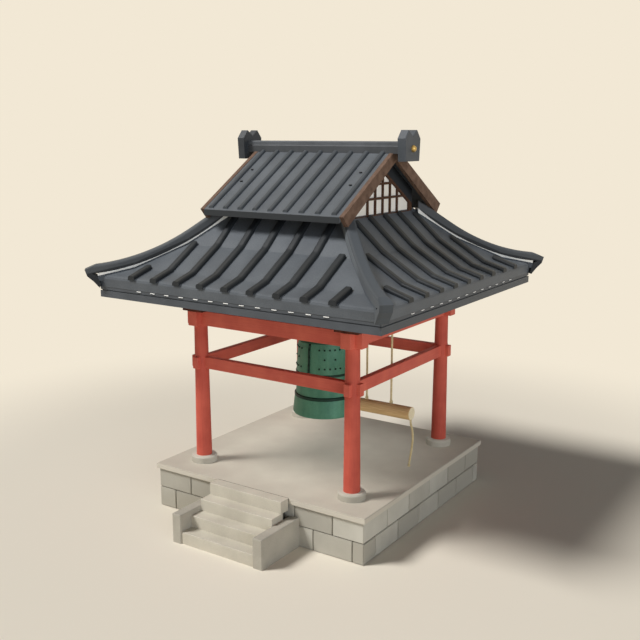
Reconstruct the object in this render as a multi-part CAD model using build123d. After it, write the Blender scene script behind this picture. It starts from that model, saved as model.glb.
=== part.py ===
from build123d import *
import math
import os

# A Japanese temple bell tower. Millimetres, +Z up, steps on the -Y side, striking log on the +X side.
# The origin is on the ground at the middle of the square platform.

# platform and steps
platform_side = 5200
masonry_height = 867
coping_thickness = 108
coping_overhang = 45
coping_edge = 20
step_count = 4
top_step_lip = 15
step_going = 295
step_depth = 360
nosing_edge = 14
stair_width = 1800
stair_core_width = 1560
stair_reach = 1190
cheek_width = 220
cheek_height = 610
cheek_reach = 1220
cheek_edge = 22

# posts and the beams that tie them
column_spacing = 3814
plinth_radius = 280
plinth_height = 150
plinth_edge = 28
column_foot_radius = 170
column_head_radius = 140
tie_beam_bottom = 3090
tie_beam_height = 250
tie_beam_width = 140
tie_beam_nose = 220
beam_edge = 8
head_beam_bottom = 4040
head_beam_height = 310
head_beam_width = 230
head_beam_nose = 275

# brackets, wall plate and eaves
cap_width = 530
cap_height = 90
arm_width = 150
arm_height = 175
arm_reach = 450
arm_slope = 96
block_width = 220
block_height = 125
wall_plate_width = 200
rafter_depth = 100
rafter_width = 110
rafter_count = 13
rafter_spacing = 375
rafter_end_gap = 10
rafter_pitch = 6.05
rafter_tip_depth = 37
rafter_tip_proud = 8
hip_rafter_width = 160
hip_rafter_start = 60
soffit_board = 20
eave_half = 3355
eave_board_bottom = 4703
eave_board_height = 138
eave_board_width = 85
eave_groove = 21
eave_groove_depth = 30
filler_setback = 4
filler_height = 63
ceiling_thickness = 20
bearing = 43

# lower roof: half width and height of each bend of the slope, from the eave up
eave_bends = [(-25, 5165), (-425, 5285)]
upper_bends = [(2150, 5760), (1480, 6350), (1300, 6510)]
eave_round = [(27, 5095), (15, 5138)]
roof_thickness = 110
roof_edge_width = 160
roof_foot_reach = 5
roll_width = 170
roll_height = 80
roll_edge = 50
roll_reach = 53
roll_bedding = 12
lower_roll_spacing = 602
lower_roll_top = 1492
short_roll_gap = 340
corner_roll_gap = 480
shortest_roll = 400

# hip ridges: half width and height along the top and the underside, from the eave up
hip_ridge_width = 240
hip_ridge_edge = 58
hip_ridge_eave_rises = [(208, 188.9), (45, 239), (-305, 216)]
hip_ridge_slope_rises = [(2500, 175.1), (2150, 215), (1850, 222.8), (1450, 222.3)]
hip_under_slope_rises = [(1450, 58), (1850, -10.2), (2150, 12), (2460, -6.2)]
hip_under_eave_rises = [(-425, 48), (25, 62)]
hip_beak = [(115, 5206), (37, 5160), (-25, 4929), (7, 4929), (7, 4905), (85, 5035), (175, 5150)]
hip_bedding_depth = 170
hip_bedding_inset = 12

# roof frame under the upper roof
purlin_width = 140
purlin_height = 160
purlin_outside = 80
purlin_under_skin = 60
frame_beam_height = 200
frame_post_width = 140
upper_wall_thickness = 40

# upper gable roof
ridge_line_height = 7724
upper_pitch_rise = 0.6125
upper_eave_half = 2010
upper_thickness = 100
upper_half_length = 1650
upper_roll_spacing = 375
upper_roll_width = 112
upper_roll_height = 54
upper_roll_edge = 38
upper_roll_foot = 45
bargeboard_thickness = 90
bargeboard_depth = 234
bargeboard_rise = 8
bargeboard_foot_length = 175
bargeboard_foot_depth = 305
ridge_overhang = 182
ridge_width = 330
ridge_cap_width = 280
ridge_cap_height = 85
ridge_rise = 142
ridge_edge = 22
ridge_end_thickness = 178
ridge_end_edge = 12
ridge_end_drop = 249
ridge_end_shoulder_rise = 196
ridge_end_rise = 364
ridge_end_base_width = 570
ridge_end_shoulder_width = 640
ridge_end_top_width = 350
notch_width = 330
notch_depth = 115
boss_radius = 72
boss_drop = 2
gable_setback = 248
gable_half_width = 1235
gable_panel_thickness = 45
lattice_thickness = 38
lattice_bar = 46
lattice_pitch = 301
lattice_reach = 2
lattice_post = 1094
lattice_rails = [6726, 7018]
lattice_foot = 6404
lattice_rim = 365

# bell, its beam and hanger
bell_beam_width = 300
bell_beam_height = 310
bell_beam_inset = 30
pin_drop = 420
bell_drop = 1980
pin_radius = 25
pin_clearance = 0.3
pin_end = 15
loop_foot_width = 300
loop_width = 200
loop_top_width = 110
loop_thickness = 90
loop_neck = 1860
loop_shoulder = 10
loop_rise = 70
hanger_cheek = 24
hanger_gap = 5
hanger_width = 130
hanger_plate = 22
hanger_plate_reach = 40
strike_rise = 300
strike_boss_radius = 110
strike_boss_root = 600
strike_boss_face = 688

# the bell's section: radius and height above its mouth
bell_inside = [(600, 0), (600, 110), (596, 250), (576, 500), (564, 920), (528, 1530), (474, 1635),
               (300, 1685), (0, 1700)]
bell_outside = [(688, 0), (700, 25), (699, 70), (684, 180), (671, 310), (659, 388), (665, 396),
                (665, 446), (643, 456), (631, 458), (622, 908), (634, 914), (634, 958), (620, 964),
                (614, 1060), (605, 1190), (597, 1360), (586, 1530), (566, 1630), (506, 1695),
                (384, 1735), (200, 1755), (0, 1760)]

# striking log and its ropes
striker_beam_width = 160
striker_beam_height = 180
log_radius = 140
striking_gap = 132
log_tail = 500
log_edge = 10
inner_rope_x = 1100
outer_rope_setback = 207
rope_radius = 24
rope_drop = 150
eye_rise = 50
eye_radius = 28
eye_width = 30
eye_flat = 45
eye_pin_radius = 8
eye_clearance = 0.3
lug_thickness = 8
lug_gap = 5
lug_radius = 24
lug_plate = 10
lug_plate_reach = 60
lug_seat = 25
pull_rope_radius = 24
pull_rope_route = [
    (2176, 0, 2109.5),
    (2176, 0, 2020),
    (2220, 6, 1905),
    (2236, 4, 1730),
    (2224, -3, 1525),
    (2192, -6, 1320),
    (2160, -2, 1122),
]
knot_radius = 38

# worked out from the sizes above
floor_height = masonry_height + coping_thickness
step_rise = (floor_height + top_step_lip) / step_count
first_nosing = platform_side / 2 + stair_reach
cheek_front = platform_side / 2 + cheek_reach
column_half = column_spacing / 2
plinth_top = floor_height + plinth_height
head_beam_top = head_beam_bottom + head_beam_height
cap_top = head_beam_top + cap_height
arm_top = cap_top + arm_height
wall_plate_bottom = arm_top + block_height
rafter_fall = math.tan(math.radians(rafter_pitch))
eave_seat = eave_board_bottom + eave_board_height + eave_groove + filler_height
wall_plate_inner = column_half - wall_plate_width / 2
wall_plate_outer = column_half + wall_plate_width / 2
ceiling_edge = wall_plate_inner + bearing
rafter_inner = ceiling_edge + rafter_end_gap
roof_bends = [(eave_half + out, height) for out, height in eave_bends] + upper_bends
roll_foot = eave_half + roll_reach
lower_rolls = int((eave_half - corner_roll_gap - shortest_roll) / lower_roll_spacing)
upper_rolls = int((upper_half_length - upper_roll_width) / upper_roll_spacing)
ridge_half_length = upper_half_length + bargeboard_thickness + ridge_overhang
ridge_top = ridge_line_height + ridge_rise
gable_plane = upper_half_length - gable_setback
bell_axis_height = head_beam_top - pin_drop
bell_mouth = bell_axis_height - bell_drop
strike_height = bell_mouth + strike_rise
outer_rope_x = column_half - outer_rope_setback
log_inner_end = strike_boss_face + striking_gap
log_outer_end = outer_rope_x + log_tail
rope_top = head_beam_top - rope_drop
rope_foot = strike_height + log_radius + eye_rise
roof_length = 3 * eave_half
tall = 12000

os.makedirs("parts", exist_ok=True)


def block(x0, x1, y0, y1, z0, z1):
    """A plain box between two corners."""
    middle = ((x0 + x1) / 2, (y0 + y1) / 2, (z0 + z1) / 2)
    return Pos(*middle) * Box(x1 - x0, y1 - y0, z1 - z0)


def eased(x0, x1, y0, y1, z0, z1):
    """A squared timber with its edges taken off."""
    return chamfer(block(x0, x1, y0, y1, z0, z1).edges(), beam_edge)


def along_x(outline, x0, x1):
    """An outline in (y, z), run along X."""
    face = Plane.YZ * make_face(Polyline(*outline, close=True))
    return Pos(x0, 0, 0) * extrude(face, x1 - x0)


def along_y(outline, y0, y1):
    """An outline in (x, z), run along Y."""
    face = Plane.XZ * make_face(Polyline(*outline, close=True))
    return Pos(0, y1, 0) * extrude(face, y1 - y0)


def quarter(shape, turns):
    """The shape turned about the tower's axis by a number of right angles."""
    return Rot(0, 0, 90 * turns) * shape


def corner(x_side, y_side):
    """The place of a column."""
    return Pos(x_side * column_half, y_side * column_half, 0)


def largest(shape):
    """The biggest of a shape's solids."""
    return shape.solids().sort_by(SortBy.VOLUME)[-1]


def save(shape, name):
    """One named STEP file for a sub-component."""
    shape.label = name
    export_step(shape, f"parts/{name}.step")


def out_from_eave(points):
    """Points given as (reach beyond the eave's face, height), as (half width, height)."""
    return [(eave_half + out, height) for out, height in points]


def soffit_line(half):
    """Height of the rafters' upper side at a distance from the tower's axis."""
    return eave_seat + (eave_half - half) * rafter_fall


def front_wedge(reach=roof_length):
    """The quarter of the plan in front of the two hips."""
    outline = Polyline((0, 0), (-reach, -reach), (reach, -reach), close=True)
    return extrude(make_face(outline), tall)


def front_run(outline):
    """One side of a square ring: an outline in (half width, z), mitred at both hips."""
    turned = [(-half, z) for half, z in outline]
    return along_x(turned, -roof_length, roof_length) & front_wedge()


def square_ring(outline):
    """A square ring with mitred corners, in one piece."""
    side = front_run(outline)
    return side + [quarter(side, turns) for turns in (1, 2, 3)]


# ---------------------------------------------------------------- platform and steps


def platform():
    half = platform_side / 2
    masonry = block(-half, half, -half, half, 0, masonry_height)
    save(masonry, "platform_masonry")
    edge = half + coping_overhang
    slab = block(-edge, edge, -edge, edge, masonry_height, floor_height)
    slab = fillet(slab.edges().group_by(Axis.Z)[-1], coping_edge)
    save(slab, "platform_floor")


def stairs():
    wall = platform_side / 2
    coping = wall + coping_overhang
    half = stair_width / 2
    core = []
    for number in range(step_count):
        front = first_nosing - number * step_going
        back = max(front - step_depth, coping)
        foot = number * step_rise
        tread = block(-half, half, -front, -back, foot, foot + step_rise)
        nosing = tread.edges().filter_by(Axis.X).group_by(Axis.Z)[-1].sort_by(Axis.Y)[0]
        tread = fillet(nosing, nosing_edge)
        save(tread, f"step_{number + 1}")
        if number < step_count - 1:
            core_half = stair_core_width / 2
            core.append(block(-core_half, core_half, -back, -wall, foot, foot + step_rise))
    save(core[0] + core[1:], "stair_core")
    cheeks = []
    for side in (-1, 1):
        inner = side * half
        outer = side * (half + cheek_width)
        cheek = block(min(inner, outer), max(inner, outer), -cheek_front, -wall, 0, cheek_height)
        top = cheek.edges().group_by(Axis.Z)[-1]
        front_posts = cheek.edges().filter_by(Axis.Z).group_by(Axis.Y)[0]
        cheeks.append(fillet(top.filter_by(Axis.Y) + top.filter_by(Axis.X).sort_by(Axis.Y)[:1]
                             + front_posts, cheek_edge))
    save(Compound(cheeks), "stair_cheeks")


# ---------------------------------------------------------------- posts and beams


def beam_pair(bottom, height, width, nose, lower_half):
    """Two beams along X, halved where the pair along Y crosses them."""
    reach = column_half + nose
    middle = bottom + height / 2
    beams = []
    for side in (-1, 1):
        y = side * column_half
        beam = eased(-reach, reach, y - width / 2, y + width / 2, bottom, bottom + height)
        for end in (-1, 1):
            x = end * column_half
            low, high = (middle, tall) if lower_half else (0, middle)
            beam -= block(x - width / 2, x + width / 2, y - width, y + width, low, high)
        beams.append(beam)
    return beams


def frame_of_posts():
    tie_x = beam_pair(tie_beam_bottom, tie_beam_height, tie_beam_width, tie_beam_nose, True)
    tie_y = [quarter(b, 1) for b in
             beam_pair(tie_beam_bottom, tie_beam_height, tie_beam_width, tie_beam_nose, False)]
    head_x = beam_pair(head_beam_bottom, head_beam_height, head_beam_width, head_beam_nose, True)
    head_y = [quarter(b, 1) for b in
              beam_pair(head_beam_bottom, head_beam_height, head_beam_width, head_beam_nose, False)]
    save(Compound(tie_x), "tie_beams_lengthwise")
    save(Compound(tie_y), "tie_beams_crosswise")
    save(Compound(head_x), "head_beams_lengthwise")
    save(Compound(head_y), "head_beams_crosswise")

    plinth = Pos(0, 0, floor_height) * Cylinder(plinth_radius, plinth_height,
                                                align=(Align.CENTER, Align.CENTER, Align.MIN))
    plinth = chamfer(plinth.edges().group_by(Axis.Z)[-1], plinth_edge)
    post = Pos(0, 0, plinth_top) * Cone(column_foot_radius, column_head_radius,
                                        head_beam_top - plinth_top,
                                        align=(Align.CENTER, Align.CENTER, Align.MIN))
    places = [corner(x, y) for x in (-1, 1) for y in (-1, 1)]
    columns = [largest((place * post) - (tie_x + tie_y + head_x + head_y)) for place in places]
    save(Compound([place * plinth for place in places]), "plinths")
    save(Compound(columns), "columns")


def bracket_sets():
    """A cap block on each column with crossed arms and five bearing blocks."""
    cap = block(-cap_width / 2, cap_width / 2, -cap_width / 2, cap_width / 2,
                head_beam_top, cap_top)
    arm_outline = [(-arm_reach + arm_slope, cap_top), (arm_reach - arm_slope, cap_top),
                   (arm_reach, cap_top + arm_slope), (arm_reach, arm_top),
                   (-arm_reach, arm_top), (-arm_reach, cap_top + arm_slope)]
    arm = along_x(arm_outline, -arm_width / 2, arm_width / 2)
    bracket = cap + arm + quarter(arm, 1)
    step = arm_reach - block_width / 2
    for x, y in ((0, 0), (step, 0), (-step, 0), (0, step), (0, -step)):
        w = block_width / 2
        bracket += block(x - w, x + w, y - w, y + w, arm_top, wall_plate_bottom)
    brackets = [corner(x, y) * bracket for x in (-1, 1) for y in (-1, 1)]
    save(Compound(brackets), "brackets")


def wall_plate():
    """The square plate that carries the rafters, with a bearing block at each mid side."""
    under = rafter_depth
    outline = [(wall_plate_inner, wall_plate_bottom), (wall_plate_outer, wall_plate_bottom),
               (wall_plate_outer, soffit_line(wall_plate_outer) - under),
               (wall_plate_inner, soffit_line(wall_plate_inner) - under)]
    plate = square_ring(outline)
    w = block_width / 2
    seats = (head_beam_top + bell_beam_height, head_beam_top + striker_beam_height,
             head_beam_top + bell_beam_height, head_beam_top)
    for turns, seat in enumerate(seats):
        rest = block(-w, w, -column_half - w, -column_half + w, seat, wall_plate_bottom)
        plate += quarter(rest, turns)
    save(plate, "wall_plate")


# ---------------------------------------------------------------- eaves


def hip_rafter():
    """The diagonal rafter of the front right corner, below the soffit boards."""
    width = hip_rafter_width / 2
    inner = wall_plate_inner + hip_rafter_start
    outer = eave_half - eave_board_width
    root = math.sqrt(2)
    backing = width / root * rafter_fall
    outline = [(inner * root, soffit_line(inner) - backing),
               (outer * root, soffit_line(outer) - backing),
               (outer * root, soffit_line(outer) - rafter_depth),
               (inner * root, soffit_line(inner) - rafter_depth)]
    rafter = Rot(0, 0, -45) * along_y(outline, -width, width)
    box_half = eave_half - eave_board_width
    return rafter & block(-box_half, box_half, -box_half, box_half, 0, tall)


def eaves():
    groove_bottom = eave_board_bottom + eave_board_height
    groove_top = groove_bottom + eave_groove
    inner = eave_half - eave_board_width
    groove_back = eave_half - eave_groove_depth
    filler_face = eave_half - filler_setback
    outline = [(inner, eave_board_bottom), (eave_half, eave_board_bottom),
               (eave_half, groove_bottom), (groove_back, groove_bottom),
               (groove_back, groove_top), (filler_face, groove_top),
               (filler_face, eave_seat), (inner, soffit_line(inner))]
    board = square_ring(outline)

    hips = [quarter(hip_rafter(), turns) for turns in range(4)]
    w = hip_rafter_width / 2
    over_hips = [Rot(0, 0, turn) * block(-tall, tall, -w, w, 0, tall) for turn in (45, -45)]
    deck_inner = rafter_inner
    deck_outer = eave_half - roof_edge_width
    deck = front_run([(deck_inner, soffit_line(deck_inner)), (deck_outer, soffit_line(deck_outer)),
                      (deck_outer, soffit_line(deck_outer) + soffit_board),
                      (deck_inner, soffit_line(deck_inner) + soffit_board)])
    tip = eave_half + rafter_tip_proud
    outline = [(rafter_inner, soffit_line(rafter_inner)), (inner, soffit_line(inner)),
               (eave_half, eave_seat), (tip, eave_seat), (tip, eave_seat - rafter_tip_depth),
               (inner, eave_seat - rafter_tip_depth), (inner, soffit_line(inner) - rafter_depth),
               (rafter_inner, soffit_line(rafter_inner) - rafter_depth)]
    turned = [(-half, z) for half, z in outline]
    rafters = []
    tips = []
    for number in range(rafter_count):
        x = (number - (rafter_count - 1) / 2) * rafter_spacing
        rafter = along_x(turned, x - rafter_width / 2, x + rafter_width / 2) & front_wedge()
        rafters.append(rafter - over_hips)
        tips.append(block(x - rafter_width / 2, x + rafter_width / 2, -tip, -inner + 1,
                          eave_seat - rafter_tip_depth, tall))
    for turns in range(4):
        board -= [quarter(slot, turns) for slot in tips]
    save(board, "eave_board")
    save(Compound(hips), "hip_rafters")
    save(Compound([quarter(deck, turns) for turns in range(4)]), "soffits")
    save(Compound([quarter(rafter, turns) for turns in range(4) for rafter in rafters]), "rafters")

    half = ceiling_edge
    foot = soffit_line(wall_plate_inner) - rafter_depth
    ceiling = block(-half, half, -half, half, foot, foot + ceiling_thickness)
    save(ceiling, "ceiling")
    return foot + ceiling_thickness


# ---------------------------------------------------------------- lower roof


def lower_roll(x, top):
    """A roll of the front slope, from past the eave up to a half width, on the roof's bends."""
    path = [(roll_foot, height_on_slope(roll_foot))]
    path += [bend for bend in roof_bends[1:] if bend[0] > top + roll_edge]
    path.append((top, height_on_slope(top)))
    outline = [(-half, z - roll_bedding) for half, z in path]
    outline += [(-half, z + roll_height) for half, z in reversed(path)]
    roll = along_x(outline, x - roll_width / 2, x + roll_width / 2)
    upper = [edge for edge in roll.edges()
             if abs(edge.tangent_at(0.5).X) < 0.01
             and edge.center().Z > height_on_slope(-edge.center().Y) + roll_height * 0.9]
    return fillet(upper, roll_edge)


def height_on_slope(half):
    """Height of the lower roof's skin at a half width; the first slope runs on past the eave."""
    for (outer, low), (inner, high) in zip(roof_bends, roof_bends[1:]):
        if half >= inner:
            return low + (outer - half) / (outer - inner) * (high - low)
    raise ValueError(half)


def lower_roof():
    inner_edge = eave_half - roof_edge_width
    top_side = out_from_eave([(roof_foot_reach, eave_seat)] + eave_round) + roof_bends
    under_side = [(half, z - roof_thickness) for half, z in reversed(roof_bends[1:])]
    under_side += [(inner_edge, height_on_slope(inner_edge) - roof_thickness),
                   (inner_edge, soffit_line(inner_edge))]
    panel = front_run(top_side + under_side)
    for number in range(-lower_rolls, lower_rolls + 1):
        x = number * lower_roll_spacing
        gap = corner_roll_gap if abs(number) == lower_rolls else short_roll_gap
        panel += lower_roll(x, max(lower_roll_top, abs(x) + gap))
    names = ("front", "right", "back", "left")
    panels = [quarter(panel, turns) for turns in range(4)]
    for name, side in zip(names, panels):
        save(side, f"lower_roof_{name}")
    return panels


def on_front_right_hip(curves, runs, width):
    """An outline of curves and straight runs in (half width, z), run across the front right hip."""
    root = math.sqrt(2)
    edges = [Spline(*[(half * root, z) for half, z in points]) for points in curves]
    edges += [Polyline(*[(half * root, z) for half, z in points]) for points in runs]
    face = Plane.XZ * make_face(edges)
    return Rot(0, 0, -45) * Pos(0, width / 2, 0) * extrude(face, width)


def over_slope(points):
    """Points given as (half width, rise above the lower roof's skin), as (half width, z)."""
    return [(half, height_on_slope(half) + rise) for half, rise in points]


def hip_ridges(panels, bargeboards):
    """A curved bar down each hip with its beak over the corner, on white bedding."""
    top = over_slope(out_from_eave(hip_ridge_eave_rises) + hip_ridge_slope_rises)
    under = over_slope(hip_under_slope_rises + out_from_eave(hip_under_eave_rises))
    beak = [under[-1]] + out_from_eave(hip_beak) + top[:2]
    ridge = on_front_right_hip([top[1:], under], [[top[-1], under[0]], beak], hip_ridge_width)
    long_edges = ridge.edges().sort_by(SortBy.LENGTH)[-4:]
    ridge = fillet(long_edges.sort_by(Axis.Z)[-2:], hip_ridge_edge)
    lowered = [(half, z - hip_bedding_depth) for half, z in under]
    sides = [[lowered[0], under[0]], [lowered[-1], under[-1]]]
    bedding = on_front_right_hip([under, lowered], sides, hip_ridge_width - 2 * hip_bedding_inset)
    ridges = []
    bedded = []
    for turns in range(4):
        capped = largest(quarter(ridge, turns) - panels - bargeboards)
        ridges.append(capped)
        bedded.append(largest(quarter(bedding, turns) - panels - capped))
    save(Compound(ridges), "hip_ridges")
    save(Compound(bedded), "ridge_bedding")


def roof_frame(panels, deck_top):
    """Beams on the ceiling's rim, four posts, a purlin square and the boarding over it."""
    outer = roof_bends[-1][0] + purlin_outside
    inner = outer - purlin_width
    purlin_top = height_on_slope(outer) - roof_thickness
    purlin_foot = purlin_top - purlin_height
    ring = block(-outer, outer, -outer, outer, purlin_foot,
                 roof_bends[-1][1] - purlin_under_skin)
    ring -= block(-inner, inner, -inner, inner, 0, tall)
    frame = ring - panels
    middle = (outer + inner) / 2
    w = frame_post_width / 2
    beam_top = deck_top + frame_beam_height
    for x_side in (-1, 1):
        for y_side in (-1, 1):
            x, y = x_side * middle, y_side * middle
            frame += block(x - w, x + w, y - w, y + w, deck_top, purlin_foot)
    for y_side in (-1, 1):
        y = y_side * middle
        frame += block(-ceiling_edge, ceiling_edge, y - w, y + w, deck_top, beam_top)
    wall_outer = roof_bends[-1][0]
    wall_inner = wall_outer - upper_wall_thickness
    end = gable_plane - gable_panel_thickness
    for y_side in (-1, 1):
        low, high = sorted((y_side * wall_inner, y_side * wall_outer))
        wall = block(-end, end, low, high, purlin_foot, ridge_line_height)
        frame += wall - panels - roof_void()
    save(largest(frame), "roof_frame")


def roof_void():
    """Everything above the upper roof's underside, to trim what stands below it."""
    edge = upper_eave_half
    outline = [(-edge, upper_underside(edge)), (0, upper_underside(0)),
               (edge, upper_underside(edge)), (edge, tall), (-edge, tall)]
    return along_x(outline, -roof_length, roof_length)


# ---------------------------------------------------------------- upper roof


def upper_line(y):
    return ridge_line_height - abs(y) * upper_pitch_rise


def upper_underside(y):
    return upper_line(y) - upper_thickness * math.hypot(1, upper_pitch_rise)


def upper_roll(x):
    """A roll of the front upper slope, between the ridge's foot and the eave."""
    foot = -upper_eave_half + upper_roll_foot
    top = -ridge_width / 2
    outline = [(foot, upper_line(foot) - roll_bedding), (foot, upper_line(foot) + upper_roll_height),
               (top, upper_line(top) + upper_roll_height), (top, upper_line(top) - roll_bedding)]
    roll = along_x(outline, x - upper_roll_width / 2, x + upper_roll_width / 2)
    upper = [edge for edge in roll.edges()
             if abs(edge.tangent_at(0.5).X) < 0.01
             and edge.center().Z > upper_line(edge.center().Y) + upper_roll_height * 0.9]
    return fillet(upper, upper_roll_edge)


def upper_roof():
    eave = upper_eave_half
    outline = [(0, upper_line(0)), (-eave, upper_line(eave)), (-eave, upper_underside(eave)),
               (0, upper_underside(0))]
    slab = along_x(outline, -upper_half_length, upper_half_length)
    for number in range(-upper_rolls, upper_rolls + 1):
        slab += upper_roll(number * upper_roll_spacing)
    save(slab, "upper_roof_front")
    save(quarter(slab, 2), "upper_roof_back")


def bargeboards():
    """A pair of boards meeting at the apex, at each end of the upper roof."""
    top = ridge_line_height + bargeboard_rise
    end = upper_eave_half + roof_foot_reach
    foot = end - bargeboard_foot_length
    low = top - foot * upper_pitch_rise - bargeboard_foot_depth
    outline = [(0, top), (-end, top - end * upper_pitch_rise), (-foot, low),
               (0, ridge_line_height - bargeboard_depth), (foot, low),
               (end, top - end * upper_pitch_rise)]
    outer = upper_half_length + bargeboard_thickness
    right = along_x(outline, upper_half_length, outer)
    boards = [right, quarter(right, 2)]
    save(Compound(boards), "bargeboards")
    return boards


def ridge():
    half = ridge_width / 2
    cap = ridge_cap_width / 2
    cap_foot = ridge_top - ridge_cap_height
    edge = ridge_edge
    side = [(half, upper_line(half)), (half, cap_foot - edge), (half - edge, cap_foot),
            (cap, cap_foot), (cap, ridge_top - edge), (cap - edge, ridge_top)]
    outline = [(0, ridge_line_height)] + side + [(-y, z) for y, z in reversed(side)]
    body = along_x(outline, -ridge_half_length, ridge_half_length)
    body -= bargeboard_tops()
    save(body, "main_ridge")

    base = ridge_end_base_width / 2
    shoulder = ridge_end_shoulder_width / 2
    top = ridge_end_top_width / 2
    notch = notch_width / 2
    low = ridge_line_height - ridge_end_drop
    middle = ridge_line_height + ridge_end_shoulder_rise
    high = ridge_line_height + ridge_end_rise
    outline = [(-base, low), (base, low), (shoulder, middle), (top, high), (notch, high),
               (0, high - notch_depth), (-notch, high), (-top, high), (-shoulder, middle)]
    outer = ridge_half_length + ridge_end_thickness
    end = along_x(outline, ridge_half_length, outer)
    end = chamfer(end.faces().sort_by(Axis.X)[-1].edges(), ridge_end_edge)
    save(Compound([end, quarter(end, 2)]), "ridge_ends")
    boss = Pos(outer, 0, ridge_line_height - boss_drop) * Sphere(boss_radius)
    boss &= block(outer, outer + ridge_width, -ridge_width, ridge_width, 0, tall)
    save(Compound([boss, quarter(boss, 2)]), "ridge_bosses")


def bargeboard_tops():
    """Room in the ridge's foot for the boards' apexes."""
    half = ridge_width / 2
    rise = bargeboard_rise
    foot = upper_line(half) - ridge_edge
    outline = [(0, ridge_line_height + rise), (half, upper_line(half) + rise),
               (half, foot), (-half, foot), (-half, upper_line(half) + rise)]
    outer = upper_half_length + bargeboard_thickness
    room = along_x(outline, upper_half_length, outer)
    return [room, quarter(room, 2)]


def gables(panels):
    """A plastered panel and its timber lattice at each gable, standing on the side roofs."""
    foot = height_on_slope(gable_plane + lattice_thickness) - roof_thickness / 2
    half = gable_half_width
    outline = [(-half, foot), (half, foot), (half, upper_underside(half)),
               (0, upper_underside(0)), (-half, upper_underside(half))]
    panel = largest(along_x(outline, gable_plane - gable_panel_thickness, gable_plane) - panels)
    x0, x1 = gable_plane, gable_plane + lattice_thickness
    sheet = along_x(outline, x0, x1) - panels
    bar = lattice_bar / 2
    bars = []
    for number in range(-lattice_reach, lattice_reach + 1):
        y = number * lattice_pitch
        bars.append(block(x0, x1, y - bar, y + bar, foot, tall))
    for low, high in ((-half, -lattice_post), (lattice_post, half)):
        bars.append(block(x0, x1, low, high, foot, tall))
    for rail in lattice_rails:
        bars.append(block(x0, x1, -half, half, rail - bar, rail + bar))
    bars.append(block(x0, x1, -half, half, foot, lattice_foot))
    rim_edge = upper_underside(half) - lattice_rim
    rim = [(-half, rim_edge), (-half, tall), (half, tall), (half, rim_edge),
           (0, upper_underside(0) - lattice_rim)]
    bars.append(along_x(rim, x0, x1))
    lattice = largest(sheet & (bars[0] + bars[1:]))
    save(Compound([panel, quarter(panel, 2)]), "gable_panels")
    save(Compound([lattice, quarter(lattice, 2)]), "gable_lattices")


# ---------------------------------------------------------------- bell and striker


def bell_and_hanger():
    reach = column_half + head_beam_width / 2 - bell_beam_inset
    w = bell_beam_width / 2
    beam = block(-w, w, -reach, reach, head_beam_top, head_beam_top + bell_beam_height)
    save(beam, "bell_beam")

    section = [(radius, bell_mouth + height) for radius, height in bell_outside + bell_inside[::-1]]
    casting = revolve(Plane.XZ * make_face(Polyline(*section, close=True)), Axis.Z)
    foot = bell_mouth + (bell_inside[-1][1] + bell_outside[-1][1]) / 2
    side = [(loop_foot_width / 2, foot), (loop_width / 2, bell_mouth + loop_neck),
            (loop_width / 2, bell_axis_height + loop_shoulder),
            (loop_top_width / 2, bell_axis_height + loop_rise)]
    outline = side + [(-x, z) for x, z in reversed(side)]
    loop = along_y(outline, -loop_thickness / 2, loop_thickness / 2)
    hole = Pos(0, 0, bell_axis_height) * Rot(90, 0, 0) * Cylinder(
        pin_radius + pin_clearance, 2 * loop_thickness)
    disc = Pos(strike_boss_root, 0, strike_height) * Rot(0, 90, 0) * Cylinder(
        strike_boss_radius, strike_boss_face - strike_boss_root,
        align=(Align.CENTER, Align.CENTER, Align.MIN))
    save(casting + (loop - hole) + disc, "bell")

    near = loop_thickness / 2 + hanger_gap
    far = near + hanger_cheek
    w = hanger_width / 2
    reach = hanger_plate_reach
    hanger = block(-w - reach, w + reach, -far - reach, far + reach,
                   head_beam_top - hanger_plate, head_beam_top)
    for side in (-1, 1):
        low, high = sorted((side * near, side * far))
        hanger += block(-w, w, low, high, bell_axis_height - w, head_beam_top - hanger_plate)
    hanger += Pos(0, 0, bell_axis_height) * Rot(90, 0, 0) * Cylinder(pin_radius, 2 * (far + pin_end))
    save(hanger, "bell_hanger")


def rope_lugs(x, pivot, base, up):
    """Two lugs with a pin between them, rising to or hanging down to a pivot."""
    near = eye_width / 2 + lug_gap
    far = near + lug_thickness
    lugs = Pos(x, 0, pivot) * Rot(90, 0, 0) * Cylinder(eye_pin_radius, 2 * far)
    for side in (-1, 1):
        y = side * (near + far) / 2
        lugs += Pos(x, y, pivot) * Rot(90, 0, 0) * Cylinder(lug_radius, lug_thickness)
        low, high = sorted((pivot, base))
        lugs += block(x - lug_radius, x + lug_radius, y - lug_thickness / 2, y + lug_thickness / 2,
                      low, high)
    if not up:
        lugs += block(x - lug_plate_reach, x + lug_plate_reach, -far - lug_radius, far + lug_radius,
                      base - lug_plate, base)
    return lugs


def hanging_rope(x):
    """A taut rope, flattened at each end into a spliced eye that sits between its lugs."""
    rope = Pos(x, 0, rope_foot) * Cylinder(rope_radius, rope_top - rope_foot,
                                          align=(Align.CENTER, Align.CENTER, Align.MIN))
    for pivot in (rope_foot, rope_top):
        across = Pos(x, 0, pivot) * Rot(90, 0, 0)
        rope += across * Cylinder(eye_radius, eye_width)
        for side in (-1, 1):
            low, high = sorted((side * eye_width / 2, side * eye_width))
            rope -= block(x - eye_flat, x + eye_flat, low, high, pivot - eye_flat, pivot + eye_flat)
        rope -= across * Cylinder(eye_pin_radius + eye_clearance, eye_width)
    return rope


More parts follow.
